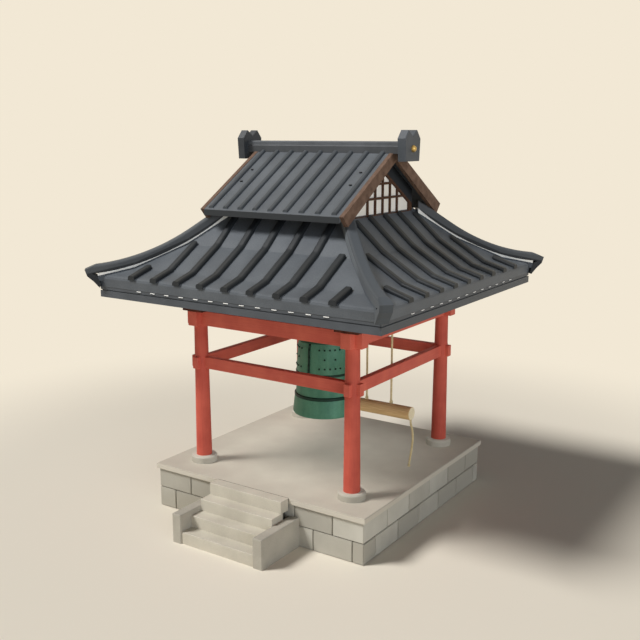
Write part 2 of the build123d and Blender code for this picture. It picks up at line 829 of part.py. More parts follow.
def striker():
    outer = column_half + head_beam_width / 2 - bell_beam_inset
    w = striker_beam_width / 2
    beam = block(bell_beam_width / 2, outer, -w, w, head_beam_top, head_beam_top + striker_beam_height)
    save(beam, "striker_beam")
    length = log_outer_end - log_inner_end
    trunk = Pos(log_inner_end, 0, strike_height) * Rot(0, 90, 0) * Cylinder(
        log_radius, length, align=(Align.CENTER, Align.CENTER, Align.MIN))
    trunk = chamfer(trunk.edges().filter_by(GeomType.CIRCLE), log_edge)
    save(trunk, "striking_log")
    places = (inner_rope_x, outer_rope_x)
    eyes = [rope_lugs(x, rope_foot, strike_height + log_radius - lug_seat, True) - trunk for x in places]
    save(Compound([largest(eye) for eye in eyes]), "log_eyes")
    hooks = [rope_lugs(x, rope_top, head_beam_top, False) for x in places]
    save(Compound(hooks), "rope_hooks")
    save(hanging_rope(inner_rope_x), "inner_rope")
    save(hanging_rope(outer_rope_x), "outer_rope")


def pull_rope():
    """The ringer's free rope: straight runs joined by tangent arcs, and a knot at its foot."""
    points = [Vector(*point) for point in pull_rope_route]
    radii = []
    for before, here, after in zip(points, points[1:], points[2:]):
        first = here - before
        second = after - here
        turn = math.radians(first.get_angle(second))
        radii.append(0.45 * min(first.length, second.length) / math.tan(turn / 2))
    route = FilletPolyline(*points, radius=radii)
    start = Plane(origin=route @ 0, z_dir=route % 0)
    tube = sweep(start * Circle(pull_rope_radius), path=route)
    save(tube, "pull_rope")
    end = Plane(origin=route @ 1, z_dir=route % 1)
    ball = end * (Pos(0, 0, knot_radius * 0.8) * Sphere(knot_radius))
    room = 4 * knot_radius
    knot = ball & (end * Box(room, room, room, align=(Align.CENTER, Align.CENTER, Align.MIN)))
    save(knot, "pull_knot")


platform()
stairs()
frame_of_posts()
bracket_sets()
wall_plate()
deck_top = eaves()
roof_panels = lower_roof()
boards = bargeboards()
hip_ridges(roof_panels, boards)
upper_roof()
roof_frame(roof_panels, deck_top)
ridge()
gables(roof_panels)
bell_and_hanger()
striker()
pull_rope()
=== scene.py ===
import math
import random

import bmesh
import bpy
from mathutils import Matrix, Quaternion, Vector


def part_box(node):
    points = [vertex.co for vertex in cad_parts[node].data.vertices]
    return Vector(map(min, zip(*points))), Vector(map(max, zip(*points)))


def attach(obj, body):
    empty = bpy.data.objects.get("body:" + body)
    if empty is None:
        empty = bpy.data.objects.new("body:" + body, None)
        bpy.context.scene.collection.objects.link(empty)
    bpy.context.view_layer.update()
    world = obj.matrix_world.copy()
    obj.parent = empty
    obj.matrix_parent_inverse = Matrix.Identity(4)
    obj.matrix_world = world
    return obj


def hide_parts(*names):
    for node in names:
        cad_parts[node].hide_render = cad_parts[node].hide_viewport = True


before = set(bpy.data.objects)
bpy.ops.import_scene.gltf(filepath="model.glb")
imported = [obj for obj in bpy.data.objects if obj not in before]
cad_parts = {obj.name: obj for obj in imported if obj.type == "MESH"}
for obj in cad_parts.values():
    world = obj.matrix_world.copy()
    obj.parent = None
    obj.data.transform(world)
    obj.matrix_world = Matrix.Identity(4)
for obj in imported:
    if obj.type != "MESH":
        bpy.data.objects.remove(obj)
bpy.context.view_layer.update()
scene = bpy.context.scene
scene.view_settings.view_transform = "Standard"


# ---------------------------------------------------------------- the view
# The tower is seen from off its front right corner, from about the height of its ridge.

eye = Vector((10.596, -16.045, 8.021))
aim = Vector((-0.12, 0.0, 3.995))
lens = 50.316
far_limit = 300

view_data = bpy.data.cameras.new("view")
view_data.lens = lens
view_data.clip_end = far_limit
view = bpy.data.objects.new("view", view_data)
view.location = eye
view.rotation_euler = (aim - eye).to_track_quat("-Z", "Y").to_euler()
scene.collection.objects.link(view)
scene.camera = view


# ---------------------------------------------------------------- the ringer's rope
# A free hemp rope of three strands hangs from the underside of the log's outer end and
# ends in a tied knot within reach of a person on the platform.

pull_route = [
    (2.176, 0, 2.1095),
    (2.176, 0, 2.020),
    (2.220, 0.006, 1.905),
    (2.236, 0.004, 1.730),
    (2.224, -0.003, 1.525),
    (2.192, -0.006, 1.320),
    (2.160, -0.002, 1.122),
]
pull_radius = 0.024
strand_count = 3
strand_pitch = 0.13
strand_share = 0.52
strand_sides = 8
steps_in_pitch = 14
curve_order = 3
curve_steps = 16
knot_size = 0.0080
knot_depth = 1.8
knot_strand = 0.0106
knot_sides = 12
knot_points = 90
hemp_colours = [(200, 182, 134), (232, 216, 172)]


class Socket:
    """An output of a material's nodes: arithmetic adds Math nodes, and node() makes the rest."""

    def __init__(self, tree, output=None):
        self.tree = tree
        self.output = output

    def node(self, kind, settings=None, sockets=None, output=0):
        """Any node: its settings first, then the values or links of its sockets."""
        made = self.tree.nodes.new(kind)
        for name, value in (settings or {}).items():
            setattr(made, name, value)
        for name, value in (sockets or {}).items():
            if isinstance(value, Socket):
                self.tree.links.new(value.output, made.inputs[name])
            else:
                made.inputs[name].default_value = value
        return Socket(self.tree, made.outputs[output])

    def math(self, operation, first, second=0.0):
        return self.node("ShaderNodeMath", {"operation": operation}, {0: first, 1: second})

    def __add__(self, other):
        return self.math("ADD", self, other)

    def __sub__(self, other):
        return self.math("SUBTRACT", self, other)

    def __rsub__(self, other):
        return self.math("SUBTRACT", other, self)

    def __mul__(self, other):
        return self.math("MULTIPLY", self, other)

    def __gt__(self, other):
        return self.math("GREATER_THAN", self, other)

    def __lt__(self, other):
        return self.math("LESS_THAN", self, other)

    def __abs__(self):
        return self.math("ABSOLUTE", self)

    __radd__ = __add__
    __rmul__ = __mul__

    def highest(self, other):
        return self.math("MAXIMUM", self, other)

    def rise(self, low, high):
        """0 below low and 1 above high, with a soft step between them."""
        return self.node("ShaderNodeMapRange", {"interpolation_type": "SMOOTHSTEP"},
                         {"Value": self, "From Min": low, "From Max": high})

    def mix(self, below, above):
        """The colour below where this is 0 and the colour above where it is 1."""
        return self.node("ShaderNodeMix", {"data_type": "RGBA"},
                         {0: self, 6: below, 7: above}, 2)

    def stretched(self, x, y, z):
        """The same place with each axis stretched by its own number."""
        return self.node("ShaderNodeVectorMath", {"operation": "MULTIPLY"},
                         {0: self, 1: (x, y, z)})

    def length(self):
        return self.node("ShaderNodeVectorMath", {"operation": "LENGTH"}, {0: self}, "Value")

    def noise(self, scale, detail=2.0):
        return self.node("ShaderNodeTexNoise", {},
                         {"Vector": self, "Scale": scale, "Detail": detail})

    def axes(self):
        return [self.node("ShaderNodeSeparateXYZ", {}, {0: self}, axis) for axis in "XYZ"]


def shade(red, green, blue):
    """A display colour of 0 to 255 as linear light."""
    linear = []
    for value in (red, green, blue):
        value /= 255
        linear.append(value / 12.92 if value <= 0.04045 else ((value + 0.055) / 1.055) ** 2.4)
    return (*linear, 1.0)


class Finish:
    """A material with one surface shader, fed in colour, roughness and bumps."""

    def __init__(self, name, roughness=0.7, metallic=0.0, gloss=0.3):
        self.material = bpy.data.materials.new(name)
        self.material.use_nodes = True
        self.tree = self.material.node_tree
        self.shader = self.tree.nodes["Principled BSDF"]
        self.shader.inputs["Roughness"].default_value = roughness
        self.shader.inputs["Metallic"].default_value = metallic
        self.shader.inputs["Specular IOR Level"].default_value = gloss
        self.place = Socket(self.tree).node("ShaderNodeTexCoord", output="Object")

    def feed(self, **sockets):
        for name, value in sockets.items():
            self.tree.links.new(value.output, self.shader.inputs[name.replace("_", " ")])

    def bump(self, height, distance, strength=1.0):
        normal = height.node("ShaderNodeBump", {}, {"Height": height, "Distance": distance,
                                                    "Strength": strength})
        self.feed(Normal=normal)


def hemp(name):
    """Twisted fibres: pale hemp with darker fibres and a matt, hairy surface."""
    fibre = Finish(name, roughness=0.9)
    threads = fibre.place.stretched(1, 1, 0.25).noise(900)
    patches = fibre.place.noise(14)
    fibre.feed(Base_Color=(threads * 0.55 + patches * 0.45).rise(0.3, 0.7).mix(
        shade(*hemp_colours[0]), shade(*hemp_colours[1])))
    fibre.bump(threads, distance=0.0012, strength=0.7)
    return fibre.material


def new_piece(name, mesh_work, material, body, replaced=(), smooth=True):
    """An object made of a bmesh, riding on a body and standing for what it replaces."""
    mesh = bpy.data.meshes.new(name)
    bmesh.ops.recalc_face_normals(mesh_work, faces=mesh_work.faces)
    mesh_work.to_mesh(mesh)
    mesh_work.free()
    for polygon in mesh.polygons:
        polygon.use_smooth = smooth
    piece = bpy.data.objects.new(name, mesh)
    scene.collection.objects.link(piece)
    mesh.materials.append(material)
    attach(piece, body)
    if replaced:
        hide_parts(*replaced)
    return piece


def ring_turns(points):
    """The turns of the points round a closed ring, the last one back at the first."""
    return [2 * math.pi * number / points for number in range(points + 1)]


def add_tube(work, line, radius, sides):
    """A round tube through the points of a line, with closed ends."""
    rings = []
    normal = None
    for number, point in enumerate(line):
        before = line[max(number - 1, 0)]
        after = line[min(number + 1, len(line) - 1)]
        along = (after - before).normalized()
        if normal is None:
            normal = along.orthogonal().normalized()
        normal = (normal - along * normal.dot(along)).normalized()
        across = along.cross(normal)
        ring = []
        for turn in ring_turns(sides)[:-1]:
            outward = normal * math.cos(turn) + across * math.sin(turn)
            ring.append(work.verts.new(point + outward * radius))
        rings.append(ring)
    for ring, after in zip(rings, rings[1:]):
        for side in range(sides):
            following = (side + 1) % sides
            work.faces.new((ring[side], ring[following], after[following], after[side]))
    work.faces.new(rings[0][::-1])
    work.faces.new(rings[-1])


def evenly(line, gap):
    """Points a set distance apart along a line."""
    spaced = [line[0]]
    left = gap
    for here, after in zip(line, line[1:]):
        run = (after - here).length
        done = 0.0
        while run - done >= left:
            done += left
            left = gap
            spaced.append(here.lerp(after, done / run))
        left -= run - done
    spaced.append(line[-1])
    return spaced


def add_laid_rope(work, line, radius):
    """Strands twisted round each other along a line."""
    strand = radius * strand_share
    spaced = evenly(line, strand_pitch / steps_in_pitch)
    normal = None
    lines = [[] for strand_number in range(strand_count)]
    travelled = 0.0
    for number, point in enumerate(spaced):
        after = spaced[min(number + 1, len(spaced) - 1)]
        before = spaced[max(number - 1, 0)]
        along = (after - before).normalized()
        if normal is None:
            normal = along.orthogonal().normalized()
        normal = (normal - along * normal.dot(along)).normalized()
        for which in range(strand_count):
            turn = 2 * math.pi * (travelled / strand_pitch + which / strand_count)
            off = Quaternion(along, turn) @ normal * (radius - strand)
            lines[which].append(point + off)
        travelled += (after - point).length
    for one in lines:
        add_tube(work, one, strand, strand_sides)


curve_data = bpy.data.curves.new("pull_line", "CURVE")
curve_data.dimensions = "3D"
spline = curve_data.splines.new("NURBS")
spline.points.add(len(pull_route) - 1)
for point, place in zip(spline.points, pull_route):
    point.co = (*place, 1)
spline.order_u = curve_order
spline.use_endpoint_u = True
spline.resolution_u = curve_steps
pull_curve = bpy.data.objects.new("pull_line", curve_data)
scene.collection.objects.link(pull_curve)
bpy.context.view_layer.update()
line_mesh = bpy.data.meshes.new_from_object(pull_curve)
pull_line = [vertex.co.copy() for vertex in line_mesh.vertices]
bpy.data.objects.remove(pull_curve)

hemp_finish = hemp("hemp")
work = bmesh.new()
add_laid_rope(work, pull_line, pull_radius)
rope = new_piece("ringers_rope", work, hemp_finish, "log_body", ["pull_rope"])

knot_low, knot_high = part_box("pull_knot")
knot_middle = (knot_low + knot_high) / 2
work = bmesh.new()
# the rope's end goes round a trefoil
loop = [knot_middle + knot_size * Vector((math.sin(turn) + 2 * math.sin(2 * turn),
                                          math.cos(turn) - 2 * math.cos(2 * turn),
                                          -knot_depth * math.sin(3 * turn)))
        for turn in ring_turns(knot_points)]
add_tube(work, loop, knot_strand, knot_sides)
knot = new_piece("rope_knot", work, hemp_finish, "log_body", ["pull_knot"])


# ---------------------------------------------------------------- the studio
# A wide pale floor takes the tower's shadow and fades into the backdrop. One large soft lamp
# stands high on the left, a broad low one fills from the right, and one under the ceiling,
# which casts no shadow, lifts the shade on the paving and plinths only.

backdrop = (242, 232, 213)
floor_tone = (232, 223, 206)
floor_size = 400
fade_start = 7.5
fade_end = 15.0
round_light = 0.085
# each lamp's name, side, height and spread in degrees, strength and colour
lamps = [("key", (-0.72, -0.69), 49, 17, 2.97, (1, 1, 1)),
         ("fill", (0.90, -0.44), 7, 40, 1.35, (0.94, 1.0, 1.09))]
under_light = 40
under_light_colour = (0.88, 0.97, 1.0)
under_light_size = 3.2
under_light_height = 3.98
under_light_spread = 125

work = bmesh.new()
bmesh.ops.create_grid(work, x_segments=1, y_segments=1, size=floor_size / 2)
floor_mesh = bpy.data.meshes.new("floor")
work.to_mesh(floor_mesh)
work.free()
floor = bpy.data.objects.new("floor", floor_mesh)
scene.collection.objects.link(floor)


def seen_directly(tree):
    """1 for rays from the camera and in reflections and glass, 0 for light on its way round."""
    rays = [Socket(tree).node("ShaderNodeLightPath", output=name)
            for name in ("Is Camera Ray", "Is Glossy Ray", "Is Transmission Ray")]
    return rays[0].highest(rays[1]).highest(rays[2])


ground = Finish("floor", roughness=0.9, gloss=0.1)
ground.shader.inputs["Base Color"].default_value = shade(*floor_tone)
distance = ground.place.length()
glow = ground.place.node("ShaderNodeEmission", {}, {"Color": shade(*backdrop), "Strength": 1.0})
faded = distance.rise(fade_start, fade_end) * seen_directly(ground.tree)
matt = Socket(ground.tree, ground.shader.outputs[0])
blended = faded.node("ShaderNodeMixShader", {}, {0: faded, 1: matt, 2: glow})
ground.tree.links.new(blended.output, ground.tree.nodes["Material Output"].inputs["Surface"])
floor_mesh.materials.append(ground.material)

world = bpy.data.worlds.new("studio")
scene.world = world
world.use_nodes = True
world_start = Socket(world.node_tree)
seen = seen_directly(world.node_tree)
lit = world_start.node("ShaderNodeBackground", {}, {"Color": (1, 1, 1, 1), "Strength": round_light})
shown = world_start.node("ShaderNodeBackground", {}, {"Color": shade(*backdrop), "Strength": 1.0})
both = seen.node("ShaderNodeMixShader", {}, {0: seen, 1: lit, 2: shown})
world.node_tree.links.new(both.output, world.node_tree.nodes["World Output"].inputs["Surface"])

for name, side, height, spread, strength, colour in lamps:
    lamp_data = bpy.data.lights.new(name, "SUN")
    lamp_data.energy = strength
    lamp_data.color = colour
    lamp_data.angle = math.radians(spread)
    lamp = bpy.data.objects.new(name, lamp_data)
    toward = Vector((*side, 0)).normalized() + Vector((0, 0, math.tan(math.radians(height))))
    lamp.rotation_euler = toward.to_track_quat("Z", "Y").to_euler()
    scene.collection.objects.link(lamp)

under_data = bpy.data.lights.new("under_ceiling", "AREA")
under_data.energy = under_light
under_data.color = under_light_colour
under_data.size = under_light_size
under_data.spread = math.radians(under_light_spread)
under_data.use_shadow = False
under = bpy.data.objects.new("under_ceiling", under_data)
under.location = (0, 0, under_light_height)
under.visible_camera = False
under.visible_glossy = False
shaded_stone = bpy.data.collections.new("shaded_stone")
for node in ("platform_floor", "plinths"):
    shaded_stone.objects.link(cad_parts[node])
under.light_linking.receiver_collection = shaded_stone
scene.collection.objects.link(under)


# ---------------------------------------------------------------- platform walls
# Two courses of dressed granite blocks face a rubble core. Each block is hand squared with a
# worn edge, and the joints are raked back and dark.

course_line = 0.438
block_length = 0.9
joint = 0.013
block_edge = 0.012
block_depth = 0.25
block_tone_seed = 7
shortest_block = 0.05
mortar_setback = 0.022
core_lift = 0.001
core_edge = 0.002
stone_dark = (172, 167, 154)
stone_light = (203, 199, 186)
mortar_colour = (70, 66, 60)
mortar_pale = (92, 87, 79)

wall_low, wall_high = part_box("platform_masonry")
wall_side = wall_high.x - wall_low.x


def stone(name, dark, light, varied=False, seam=None, edge=None):
    """Granite with cloudy patches and fine grains.

    A seam is a dark bedding line beyond a place in Y. An edge is a height, with painted light below
    it.
    """
    granite = Finish(name, roughness=0.85, gloss=0.2)
    clouds = granite.place.noise(1.7, 4)
    grains = granite.place.noise(70, 3)
    amount = clouds * 0.62 + grains * 0.38
    if varied:
        tone = granite.place.node("ShaderNodeAttribute", {"attribute_name": "tone"}, output="Fac")
        amount = amount * 0.55 + tone * 0.45
    colour = amount.rise(0.3, 0.7).mix(shade(*dark), shade(*light))
    if seam:
        colour = (granite.place.axes()[1] > seam).mix(colour, shade(*mortar_colour))
    if edge:
        height, edge_dark, edge_light = edge
        below = grains.mix(shade(*edge_dark), shade(*edge_light))
        colour = (granite.place.axes()[2] < height).mix(colour, below)
    granite.feed(Base_Color=colour, Roughness=grains * 0.2 + 0.74)
    tooling = granite.place.noise(26, 4) * 0.6 + grains * 0.4
    granite.bump(tooling, distance=0.004, strength=0.35)
    return granite.material


def add_block(work, low, high, edge, turned=Matrix(), tone_layer=None, tone=0.5):
    """A squared block with softened edges, turned about the tower's middle."""
    middle = (Vector(low) + Vector(high)) / 2
    size = Vector(high) - Vector(low)
    placed = turned @ Matrix.Translation(middle) @ Matrix.Diagonal((*size, 1))
    made = bmesh.ops.create_cube(work, size=1, matrix=placed)
    edges = {side for corner in made["verts"] for side in corner.link_edges}
    softened = bmesh.ops.bevel(work, geom=list(edges), offset=edge, segments=2, affect="EDGES")
    if tone_layer:
        for corner in softened["verts"]:
            corner[tone_layer] = tone


def run_of_lengths(first):
    """Where the upright joints stand along a wall, from its left corner."""
    places = [0.0]
    place = first
    while place < wall_side - shortest_block:
        places.append(place)
        place += block_length
    return places + [wall_side]


random.seed(block_tone_seed)
work = bmesh.new()
tone_layer = work.verts.layers.float.new("tone")
half = wall_side / 2
courses = [(0, course_line, block_length / 2), (course_line, wall_high.z, block_length)]
for foot, head, first in courses:
    places = run_of_lengths(first)
    last = places[-1] - places[-2]
    for turns in range(4):
        turned = Matrix.Rotation(math.pi / 2 * turns, 4, "Z")
        for number, (start, end) in enumerate(zip(places, places[1:-1])):
            at_corner = number == 0
            left = -half + start + (0 if at_corner else joint / 2)
            right = -half + end - joint / 2
            back = -half + (last - joint / 2 if at_corner else block_depth)
            add_block(work, (left, -half, foot + joint / 2), (right, back, head - joint / 2),
                      block_edge, turned, tone_layer, random.random())
new_piece("wall_blocks", work, stone("wall_granite", stone_dark, stone_light, True), "tower",
          ["platform_masonry"], smooth=False)
core_half = half - mortar_setback
work = bmesh.new()
add_block(work, (-core_half, -core_half, core_lift), (core_half, core_half, wall_high.z),
          core_edge)
mortar = Finish("raked_mortar", roughness=0.95)
mortar.feed(Base_Color=mortar.place.noise(40).mix(shade(*mortar_colour), shade(*mortar_pale)))
new_piece("wall_core", work, mortar.material, "tower", smooth=False)


# ---------------------------------------------------------------- paving, steps and plinths
# One coping course of pale slabs covers the platform. The steps are solid granite treads
# between two cheek stones, and each post stands on a round plinth.

coping_foot = 0.958
tread_seam = -2.656


def finish_nodes(material, *nodes):
    """The CAD nodes keep their shape and take a finish."""
    for node in nodes:
        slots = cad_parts[node].data.materials
        slots.clear()
        slots.append(material)


# painted light: the coping's sides below coping_foot are paler than the paving top of the same
# slabs
finish_nodes(stone("paving_slab", (182, 173, 158), (191, 183, 167),
                   edge=(coping_foot, (198, 190, 174), (210, 203, 188))), "platform_floor")
finish_nodes(stone("tread_granite", (188, 181, 165), (208, 201, 184), seam=tread_seam),
             "step_1", "step_2", "step_3", "step_4")
finish_nodes(stone("cheek_granite", (163, 157, 144), (182, 176, 162)), "stair_cheeks")
finish_nodes(stone("plinth_granite", (176, 170, 156), (198, 192, 177)), "plinths")
finish_nodes(mortar.material, "stair_core")


# ---------------------------------------------------------------- posts and beams
# Tapered round posts and squared beams of cypress, halved where they cross, all painted in
# vermilion. The paint shows the grain faintly and is darker where dust and weather have got in.

post_reds = (182, 76, 63), (211, 101, 82)
beam_reds = (200, 89, 75), (227, 116, 95)


def vermilion(name, reds, stretch):
    """Brushed paint over timber whose grain runs along the axis with the smallest stretch."""
    painted = Finish(name, roughness=0.6, gloss=0.2)
    grain = painted.place.stretched(*stretch).noise(60, 4)
    weather = painted.place.noise(2.2, 4)
    painted.feed(Base_Color=(grain * 0.3 + weather * 0.7).rise(0.2, 0.8).mix(
        shade(*reds[0]), shade(*reds[1])), Roughness=weather * 0.25 + 0.47)
    painted.bump(grain, distance=0.002, strength=0.25)
    return painted.material


upright = vermilion("vermilion_posts", post_reds, (1, 1, 0.04))
lengthwise = vermilion("vermilion_lengthwise", beam_reds, (0.04, 1, 1))
crosswise = vermilion("vermilion_crosswise", beam_reds, (1, 0.04, 1))
finish_nodes(upright, "columns")
finish_nodes(lengthwise, "tie_beams_lengthwise", "head_beams_lengthwise", "striker_beam")
finish_nodes(crosswise, "tie_beams_crosswise", "head_beams_crosswise", "bell_beam")


# ---------------------------------------------------------------- brackets, plate and eaves
# Stained bracket arms carry a square plate. Cedar rafters and boards run out from it, and every
# rafter's tip is limewashed white.

tip_line = 3.349
tip_white = (4.8985, 4.9135)
tip_grey = (78, 81, 84)
limewash = (252, 251, 247)
stain_dark, stain_light = (66, 34, 26), (98, 54, 40)
cedar_dark, cedar_light = (98, 62, 42), (138, 96, 68)


def cedar(name, stretch, dark, light, tips=False, rim=None):
    """Sawn cedar: long grain and a dull surface. A rim is a mask, with painted shade in its tone.
    """
    timber = Finish(name, roughness=0.75, gloss=0.2)
    grain = timber.place.stretched(*stretch).noise(34, 5)
    colour = grain.rise(0.32, 0.68).mix(shade(*dark), shade(*light))
    if tips:
        x, y, z = timber.place.axes()
        outside = abs(x).highest(abs(y)) > tip_line
        limed = (z > tip_white[0]) * (z < tip_white[1])
        colour = outside.mix(colour, limed.mix(shade(*tip_grey), shade(*limewash)))
    if rim:
        mask, rim_shade_tone = rim
        colour = mask(timber.place).mix(colour, shade(*rim_shade_tone))
    timber.feed(Base_Color=colour)
    timber.bump(grain, distance=0.003, strength=0.3)
    return timber.material


finish_nodes(cedar("stained_brackets", (0.2, 0.2, 1), stain_dark, stain_light), "brackets")
finish_nodes(vermilion("vermilion_plate", beam_reds, (0.3, 0.3, 1)), "wall_plate")
finish_nodes(cedar("cedar_rafters", (0.3, 0.3, 1), cedar_dark, cedar_light, True), "rafters")
finish_nodes(cedar("cedar_boards", (0.3, 0.3, 1), cedar_dark, cedar_light),
             "soffits", "hip_rafters", "ceiling", "roof_frame")


# ---------------------------------------------------------------- roof coverings
# Smoked grey sheets of the lower roof bend up in four slopes to the gable roof, with dark
# rolls over their seams. The sheets have a slight sheen and weathered patches.

# how far out and how high each bend of the lower sheets lies
lower_bends = [(3.330, 5.165), (2.930, 5.285), (2.150, 5.760), (1.480, 6.350), (1.300, 6.510)]
ridge_line = 7.724
upper_pitch = 0.6125
roll_clear = 0.004
upper_eave = 2.006
sheet_dark = (81, 86, 92)
sheet_light = (99, 104, 109)
roll_dark = (28, 32, 36)
roll_light = (38, 42, 46)
upper_roll_dark = (56, 61, 66)
upper_roll_light = (72, 77, 82)
upper_eave_grey = (44, 48, 52)
sheet_foot = 3.386


def lower_skin(out):
    """Height of the lower roof's sheets at a distance from the tower's middle."""
    skin = None
    for (outer, low), (inner, high) in zip(lower_bends, lower_bends[1:]):
        slope = (high - low) / (outer - inner)
        line = (low + outer * slope) - out * slope
        skin = line if skin is None else skin.highest(line)
    return skin


def roof_sheet(name, side):
    """Grey sheets with darker rolls. side is the axis that they fall along, or upper."""
    cover = Finish(name, roughness=0.5)
    upper = side == "upper"
    x, y, z = cover.place.axes()
    out = abs(x) if side == "x" else abs(y)
    patches = cover.place.noise(1.3, 4)
    speckle = cover.place.noise(45, 3)
    skin = ridge_line - abs(y) * upper_pitch if upper else lower_skin(out)
    raised = (z - skin).rise(roll_clear, roll_clear * 2)
    if not upper:
        raised = raised.highest(out > sheet_foot)
    weathering_and_face_shade = (patches * 0.65 + speckle * 0.35).rise(0.32, 0.7)
    rolls = (upper_roll_dark, upper_roll_light) if upper else (roll_dark, roll_light)
    colour = raised.mix(weathering_and_face_shade.mix(shade(*sheet_dark), shade(*sheet_light)),
                        weathering_and_face_shade.mix(shade(*rolls[0]), shade(*rolls[1])))
    if upper:
        colour = (abs(y) > upper_eave).mix(colour, shade(*upper_eave_grey))
    cover.feed(Base_Color=colour, Roughness=patches * 0.2 + 0.4)
    cover.bump(speckle * 0.5 + patches * 0.5, distance=0.003, strength=0.3)
    return cover.material


finish_nodes(roof_sheet("lower_sheets_front_back", "y"), "lower_roof_front", "lower_roof_back")
finish_nodes(roof_sheet("lower_sheets_sides", "x"), "lower_roof_left", "lower_roof_right")
finish_nodes(roof_sheet("upper_sheets", "upper"), "upper_roof_front", "upper_roof_back")


# ---------------------------------------------------------------- ridges and eave board
# Clay bars cap the main ridge and the four hips, with painted shade on the ridge below its cap, on
# the hips' lower sides and on the left ridge end. White lime beds the hips above a painted shadow
# along its foot, and the front right hip and its bedding are painted near the grey of the sheets,
# its faces in painted light and shade.

ridge_cap_foot = 7.781
hip_side_shade_top = (0.11, 0.14)
hip_side_shade = (42, 45, 48)
hip_top = (84, 87, 90)
hip_rounding = (0.05, 0.13)
hip_side_face = 0.166
front_hip_top = (73, 78, 83)
front_hip_edge_shade = (68, 72, 76)
front_hip_side_tone = (103, 108, 112)
front_hip_foot_shade = (80, 84, 88)
hip_foot = (2.35, 2.75)
bedding_shadow_height = 0.026


def clouded(name, dark, light, roughness=0.5, shade_mask=None, shade_depth=0.5):
    """Clay, plaster or iron with a cloudy tone and a fine tooth, with painted shade under a mask.
    """
    surface = Finish(name, roughness=roughness)
    clouds = surface.place.noise(2.4, 4)
    tooth = surface.place.noise(60, 3)
    colour = (clouds * 0.7 + tooth * 0.3).rise(0.3, 0.7).mix(shade(*dark), shade(*light))
    if shade_mask:
        # painted shade: the masked part is mixed towards black
        shaded = shade_mask(surface.place) * shade_depth
        colour = shaded.mix(colour, shade(0, 0, 0))
    surface.feed(Base_Color=colour, Roughness=clouds * 0.2 + roughness - 0.1)
    surface.bump(tooth, distance=0.002, strength=0.3)
    return surface.material


def shade_under_cap(place):
    """1 on the courses of the main ridge below its cap, which get painted shade."""
    return place.axes()[2] < ridge_cap_foot


def left_end(place):
    """1 on the ridge end that stands in the roof's own shade."""
    return place.axes()[0] < 0


def height_on_hip(place):
    """How far a place on a hip stands above the sheets beside it."""
    x, y, z = place.axes()
    return z - lower_skin(abs(x).highest(abs(y)))


def front_right(place):
    """1 on the front right hip, whose bar and bedding are painted near the grey of the sheets."""
    x, y = place.axes()[:2]
    return (x > 0) * (y < 0)


def hip_bar(name):
    """A hip's clay bar with painted shade low on its sides; the front right one has painted light
    and shade face by face.
    """
    clay = Finish(name, roughness=0.6, gloss=0.3)
    x, y = clay.place.axes()[:2]
    clouds = clay.place.noise(2.4, 4)
    # painted shade: the bar is darker low on its sides, near the sheets
    crown = height_on_hip(clay.place).rise(*hip_side_shade_top)
    bar = crown.mix(shade(*hip_side_shade), shade(*hip_top))
    across = abs(y) - abs(x)
    # front right hip, faces painted for light and shade: a top tone, a darker rounded edge as
    # painted shade over its highlight, and a side painted darker towards the foot
    rounded = across.rise(*hip_rounding).mix(shade(*front_hip_top), shade(*front_hip_edge_shade))
    toward_foot = abs(x).highest(abs(y)).rise(*hip_foot)
    weathering_and_face_shade = (across > hip_side_face).mix(rounded, toward_foot.mix(
        shade(*front_hip_side_tone), shade(*front_hip_foot_shade)))
    weathering_and_face_shade = (clouds * 0.2).mix(weathering_and_face_shade, shade(*sheet_light))
    clay.feed(Base_Color=front_right(clay.place).mix(bar, weathering_and_face_shade), Roughness=clouds * 0.2 + 0.6)
    clay.bump(clay.place.noise(60, 3), distance=0.002, strength=0.3)
    return clay.material


finish_nodes(clouded("eave_board_grey", (71, 75, 80), (82, 86, 91)), "eave_board")
finish_nodes(clouded("ridge_clay", (79, 83, 87), (101, 104, 109),
                     shade_mask=shade_under_cap, shade_depth=0.4), "main_ridge")
finish_nodes(clouded("ridge_end_clay", (68, 74, 80), (87, 91, 97), shade_mask=left_end),
             "ridge_ends")
finish_nodes(hip_bar("hip_clay"), "hip_ridges")
plaster = Finish("lime_bedding", roughness=0.9)
limed = plaster.place.noise(30, 4).mix(shade(240, 238, 230), shade(254, 253, 249))
# painted shadow: the bedding's lowest strip beside the sheets is painted sheet grey, and on the
# front right hip all of the bedding is
painted_shadow_and_grey = (height_on_hip(plaster.place) < bedding_shadow_height).highest(front_right(plaster.place))
plaster.feed(Base_Color=painted_shadow_and_grey.mix(limed, shade(*sheet_dark)))
finish_nodes(plaster.material, "ridge_bedding")


# ---------------------------------------------------------------- roof cleats
# Four small cleats of dark iron stand on the sheets of each upper slope, two near each gable.
# What they hold is not known, so they are plain blocks with worn edges.

cleat_places = [(-1.35, 0.765), (-1.35, 1.138), (1.35, 0.765), (1.35, 1.138)]
cleat_size = Vector((0.060, 0.036, 0.030))
cleat_edge = 0.006

work = bmesh.new()
for side in (-1, 1):
    for x, out in cleat_places:
        middle = Vector((x, side * out, ridge_line - out * upper_pitch + cleat_size.z / 3))
        add_block(work, middle - cleat_size / 2, middle + cleat_size / 2, cleat_edge)
new_piece("roof_cleats", work, clouded("cleat_iron", (26, 28, 31), (38, 40, 43)), "tower")


# ---------------------------------------------------------------- gables
# A cream plastered panel behind a brown timber lattice, under a pair of bargeboards; the lattice's
# outer part close under the slopes is painted dark as shade. The gilt ball on each ridge end is
# turned and leafed.

rim_shade_depth = 0.42
rim_shade_grey = (44, 47, 51)


def shade_under_the_roof(place):
    """1 on the outer part of the lattice, close under the slopes, which is painted dark as shade.
    """
    x, y, z = place.axes()
    return ridge_line - abs(y) * upper_pitch - z < rim_shade_depth


